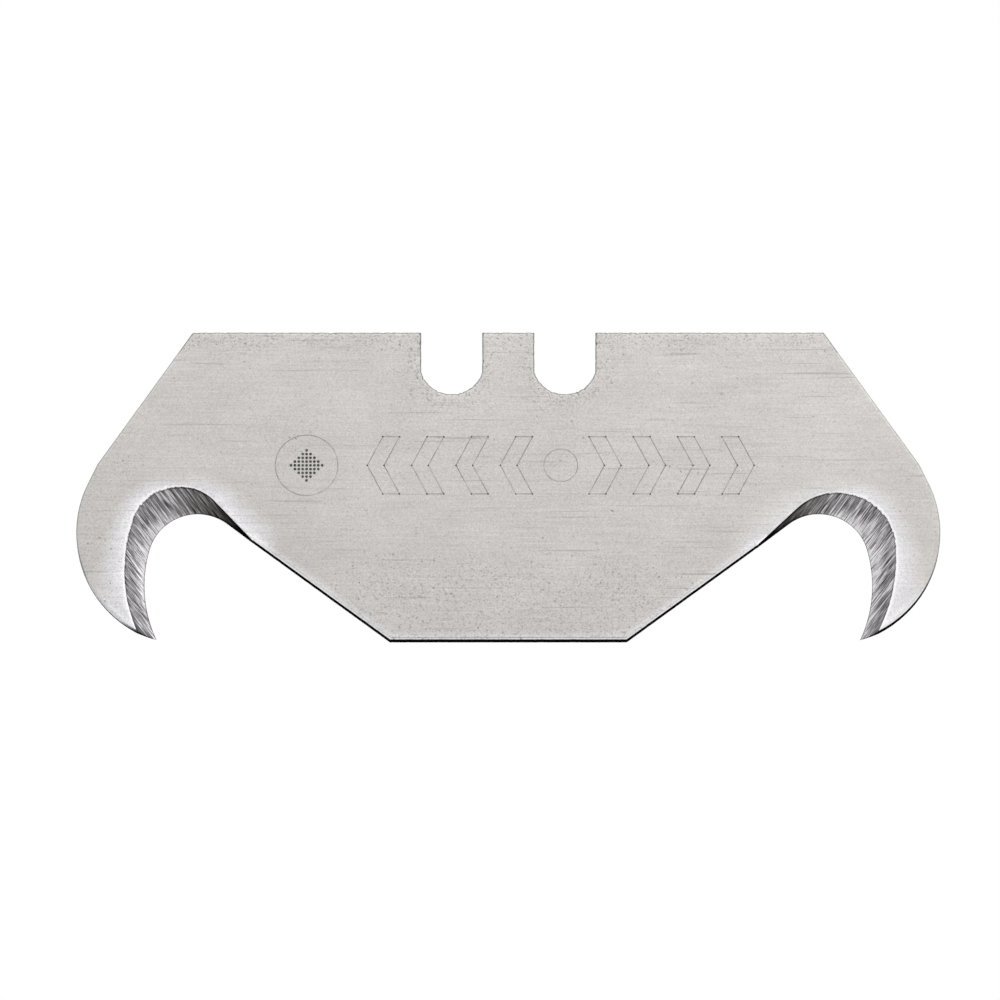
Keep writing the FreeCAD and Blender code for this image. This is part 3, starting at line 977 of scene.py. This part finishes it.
def rim_light(s, gap, slope):
    """Painted highlight and shade lines along the rims, strongest on those that face down."""
    under = s.profile(gap, [(0, 0.02), (0.02, 0.03), (0.03, 1.9), (0.09, 1.9), (0.11, 1.12),
                            (0.16, 1.15), (0.24, 1.24), (0.38, 1.08), (0.55, 1.0)])
    dip = s.profile(gap, [(0, 0.0), (0.095, 0.0), (0.11, 0.3), (0.14, 0.3), (0.17, 0.0), (0.55, 0.0)])
    beside = s.profile(gap, [(0, 0.42), (0.03, 0.6), (0.055, 1.02), (0.1, 1.04), (0.16, 1.0), (0.55, 1.0)])
    under = s.math("SUBTRACT", under, s.product(dip, s.ease(slope, 0.9, 0.98)))
    rim = s.blend(beside, under, s.ease(slope, 0.35, 0.72))
    # painted highlight along the left outer arc's rim
    return s.blend(rim, 1.25, s.product(s.value("left_highlight"), s.ease(gap, 0.08, 0.14, 1.0, 0.0)))


def rolled_face():
    """Satin rolled steel: fine lengthwise lines, grain, specks and a halo beside the bevels."""
    s = Shader("rolled_face")
    worn, halo, gap, slope = [s.value(name) for name in ("worn", "halo", "wall_gap", "wall_down")]
    lines = s.noise((240, 240, 8600), detail=3.0, rough=0.6)
    scores = s.noise((130, 130, 7000), detail=1.0)
    grain = s.noise(FINE_GRAIN, detail=1.0)
    speckle = s.noise((8200, 8200, 10500), detail=1.5)
    cloud = s.noise((190, 114, 342), detail=4.0, rough=0.6)
    specks = s.pits(0.34, s.spread(worn, 0, 1, 0.02, 0.26), 0.06)
    dots = s.pits(0.9, 0.12, 0.05)

    level = s.spread(lines, 0.25, 0.75, 0.525, 0.65)
    level = s.math("ADD", level, s.spread(cloud, 0.3, 0.7, -0.030, 0.030))
    level = s.math("ADD", level, s.spread(grain, 0.25, 0.75, -0.075, 0.075))
    flecks = s.ease(s.line(worn, 0.05, speckle), 0.56, 0.74)
    fleck_share = s.line(worn, 0.14, 0.17)
    scores = s.ease(scores, 0.64, 0.73)
    for mask, share in ((flecks, fleck_share), (scores, 0.23), (specks, 0.42), (dots, 0.35)):
        level = s.dim(level, mask, share)
    # Painted shade: the face darker towards the bottom and towards the left.
    spot = s.node("SeparateXYZ", {0: s.spot()}).outputs
    slant = s.line(spot[0], 1.3, 1.03)
    level = s.product(level, s.line(spot[2], 3.2, slant))

    ridge_gap = s.value("ridge_gap")
    # painted highlight on the face just beside the shoulder
    shoulder = s.profile(ridge_gap, [(0, 0.45), (0.02, 0.55), (0.075, 0.45), (0.13, 0.04), (0.3, 0.0)])
    level = s.product(level, s.math("ADD", halo, s.math("ADD", shoulder, 1.0)))
    # painted highlight and shade lines along the rims
    level = s.product(level, rim_light(s, gap, slope))
    burr = s.ease(s.line(speckle, 0.3, gap), 0.17, 0.23, 0.45, 0.0)
    level = s.dim(level, burr, worn)
    level = s.math("MINIMUM", level, 0.97)
    # a cooler tint with the painted highlight along rims that face down
    edging = s.product(s.ease(slope, 0.35, 0.72), s.ease(gap, 0.1, 0.6, 0.8, 0.0))
    cool = s.math("ADD", s.ease(halo, 0, 0.3), edging)
    height = s.line(grain, 0.25, lines)
    height = s.math("SUBTRACT", height, s.product(specks, 0.8))
    tints = (rgb(1.04, 1.0, 0.965), rgb(1.0, 0.985, 1.01))
    return s.steel(level, tints, cool, s.ease(lines, 0.2, 0.8, 0.36, 0.46), height, (0.0000012, 0.8))


def ground_bevel():
    """Ground steel: hard straight streaks, with painted shade darkest at the inner end, painted glints, and
    painted highlight and shade along the edge and the shoulder.
    """
    s = Shader("ground_bevel")
    sweep, bevel_shade, edge_gap = s.value("sweep"), s.value("bevel_shade"), s.value("edge_gap")
    fine = s.streaks(20.0, 0.85, 1.0)
    long = s.streaks(9.0, 0.3, 0.0)
    grain = s.noise(FINE_GRAIN, detail=1.0)
    layers = [(s.streaks(13.0, 0.85, 1.0), 0.5), (s.streaks(4.5, 0.8, 2.0), 0.12), (grain, 0.18)]
    streak = s.spread(fine, 0.3, 0.7, 0.34, 1.66)
    for layer, gain in layers:
        streak = s.product(streak, s.spread(layer, 0.3, 0.7, 1 - gain, 1 + gain))
    streak = s.dim(streak, s.ease(long, 0.2, 0.32, 1.0, 0.0), 0.5)
    streak = s.blend(1.0, streak, s.ease(sweep, 0.65, 0.9, 1.05, 0.9))
    streak = s.product(streak, s.spread(s.value("groove"), -0.8, 0.8, 0.9, 1.1))
    # painted glints on the brightest streaks
    flash = s.math("ADD", s.ease(fine, 0.68, 0.76, 0.0, 1.1), s.ease(long, 0.7, 0.8, 0.0, 1.3))
    # the grey follows the painted shade and light on the bevel
    level = s.product(bevel_shade, s.math("ADD", streak, flash))

    # Painted highlight along the honed edge, with a thin painted dark line at the very edge; near the inner
    # end, painted shade along the edge instead.
    honed = s.profile(edge_gap, [(0, 0.15), (0.026, 0.2), (0.042, 1.35), (0.11, 1.3), (0.2, 1.0)])
    edge_shade = s.profile(edge_gap, [(0, 0.3), (0.04, 0.4), (0.09, 1.0), (0.2, 1.0)])
    level = s.product(level, s.blend(edge_shade, honed, s.ease(sweep, 0.2, 0.34)))
    # painted shade on the bevel along its shoulder, strongest near the inner end
    border = s.ease(s.value("ridge_gap"), 0.05, 0.11, 1.0, 0.0)
    level = s.dim(level, border, s.ease(sweep, 0.25, 0.45, 0.85, 0.4))
    level = s.math("MINIMUM", level, 1.0)
    cool = s.ease(sweep, 0.2, 0.5)
    tints = (rgb(1.035, 1.0, 0.98), rgb(1.015, 0.97, 1.03))
    return s.steel(level, tints, cool, s.ease(fine, 0.3, 0.7, 0.42, 0.30), fine, (0.000004, 0.6))


def sheared_wall():
    """Torn steel at the strip's edge, with painted shade that makes it near black and not metallic where it
    faces down, and painted light near the front rim.
    """
    s = Shader("sheared_wall")
    down, highlight_share = s.value("wall_down"), s.value("left_highlight")
    marks = s.noise((9000, 700, 9000))
    patches = s.noise((1200, 3500, 1200))
    shade = s.spread(marks, 0.3, 0.7, 0.7, 1.3)
    shade = s.product(shade, s.ease(patches, 0.35, 0.65, 0.8, 1.2))
    depth = s.node("SeparateXYZ", {0: s.place((0, 1000, 0))}).outputs[1]
    front = s.ease(depth, 0.0, 0.08, 1.0, 0.0)
    # painted highlight on the front of the left outer arc's wall
    left_highlight = s.product(highlight_share, front)
    # painted light: the front of walls that face sideways or partly down is kept lighter
    lit_wall = s.math("MAXIMUM", left_highlight, s.product(s.ease(down, 0.3, 0.6, 0.6, 0.0), front))
    # painted shade: near black where the wall faces down
    down_shade = s.product(s.ease(down, 0.1, 0.5), s.math("SUBTRACT", 1.0, lit_wall))
    level = s.product(s.spread(down_shade, 0, 1, 0.42, 0.003), shade)
    # the painted highlight raises the grey there
    level = s.math("ADD", level, s.product(left_highlight, 0.5))
    s.surface.inputs["Specular IOR Level"].default_value = 0.0
    tints = (rgb(1.0, 1.0, 1.0), rgb(0.96, 0.98, 1.05))
    rough = s.ease(patches, 0.3, 0.7, 0.5, 0.7)
    return s.steel(level, tints, shade, rough, marks, (0.000008, 0.7), metallic=s.math("SUBTRACT", 1.0, down_shade))


def etched(name, low, high):
    """Steel darkened by etching, its grey between two levels."""
    s = Shader(name)
    grain = s.noise(9500)
    patches = s.noise(1600, detail=1.0)
    level = s.spread(grain, 0.3, 0.7, low, high)
    level = s.product(level, s.ease(patches, 0.35, 0.65, 0.8, 1.2))
    tints = (rgb(1.03, 1.0, 0.97), rgb(1.0, 0.99, 1.01))
    return s.steel(level, tints, patches, s.ease(grain, 0.3, 0.7, 0.42, 0.6), grain, (0.000002, 0.6))


# ------------------------ stage, light and camera

# In metres.
FLOOR_DROP = 0.95
FLOOR_REACH = 14.0
ROOM_RISE = (-0.25, 0.6)  # the room brightens between these heights, from -1 below to 1 above
ROOM_LIGHT = (0.295, 1.105)
LIGHT_DISTANCE = 0.9
LIGHT_SIZE = (0.9, 0.6)
VIEW_ELEVATION = math.radians(-15)
VIEW_DISTANCE = 0.9
VIEW_LENS = 548.4
VIEW_SHIFT = Vector((-0.00049, 0.0, -0.000784))


def pale_floor():
    """A wide plain floor, well below the blade."""
    mesh = bpy.data.meshes.new("floor")
    signs = [(-1, -1), (1, -1), (1, 1), (-1, 1)]
    mesh.from_pydata([(i * FLOOR_REACH, j * FLOOR_REACH, -FLOOR_DROP) for i, j in signs], [], [(0, 1, 2, 3)])
    floor = added("floor", mesh)
    s = Shader("pale_floor")
    grey = s.ease(s.noise(3.0), 0.3, 0.7, 0.84, 0.88)
    s.put(s.surface.inputs["Base Color"], s.add("CombineColor", {0: grey, 1: grey, 2: grey}))
    s.surface.inputs["Roughness"].default_value = 0.9
    mesh.materials.append(s.material)


def studio_world():
    """Plain white behind the blade, and a soft room round it that is brighter above."""
    world = bpy.data.worlds.new("studio")
    world.use_nodes = True
    bpy.context.scene.world = world
    s = Nodes(world.node_tree)
    s.tree.nodes.clear()
    up = s.node("SeparateXYZ", {0: s.node("TexCoord").outputs["Generated"]}).outputs["Z"]
    room = s.add("Background", {"Strength": s.ease(up, *ROOM_RISE, *ROOM_LIGHT)})
    white = s.add("Background", {"Color": rgb(1, 1, 1)})
    seen = s.node("LightPath").outputs["Is Camera Ray"]
    s.node("OutputWorld", {"Surface": s.add("MixShader", {0: seen, 1: room, 2: white})})


def turned_to(thing, target):
    """Turns a light or a camera to face the target."""
    thing.rotation_euler = (target - thing.location).to_track_quat("-Z", "Y").to_euler()


def soft_light(name, azimuth, elevation, power, target):
    """A rectangular soft box that faces the target."""
    lamp = bpy.data.lights.new(name, "AREA")
    lamp.shape = "RECTANGLE"
    lamp.size, lamp.size_y = LIGHT_SIZE
    lamp.energy = power
    box = added(name, lamp)
    a, e = math.radians(azimuth), math.radians(elevation)
    way = Vector((math.sin(a) * math.cos(e), -math.cos(a) * math.cos(e), math.sin(e)))
    box.location = target + LIGHT_DISTANCE * way
    turned_to(box, target)
    box.visible_camera = False


def photo_camera(target):
    """A long lens that looks at the front face from a little below."""
    lens = bpy.data.cameras.new("camera")
    lens.lens = VIEW_LENS
    lens.sensor_width = 36
    lens.clip_start = 0.05
    lens.clip_end = 30
    camera = added("camera", lens)
    aim = target + VIEW_SHIFT
    back = Vector((0, -math.cos(VIEW_ELEVATION), math.sin(VIEW_ELEVATION)))
    camera.location = aim + back * VIEW_DISTANCE
    turned_to(camera, aim)
    bpy.context.scene.camera = camera


# ------------------------ putting it together

middle = (Vector(cad_box[0]) + Vector(cad_box[1])) / 2
blade = build_blade(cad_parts[CAD_NODE])
for material in (rolled_face(), ground_bevel(), sheared_wall()):
    blade.data.materials.append(material)
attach(blade, "root")
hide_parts(CAD_NODE)

mark = build_mark(-cad_box[0][1] / MM)
for material in (etched("etched_line", 0.30, 0.46), etched("etched_dot", 0.05, 0.16)):
    mark.data.materials.append(material)
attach(mark, "root")

pale_floor()
studio_world()
soft_light("key", azimuth=12, elevation=32, power=1.38, target=middle)
soft_light("back", azimuth=190, elevation=30, power=1.15, target=middle)
photo_camera(middle)
bpy.context.scene.view_settings.view_transform = "Standard"
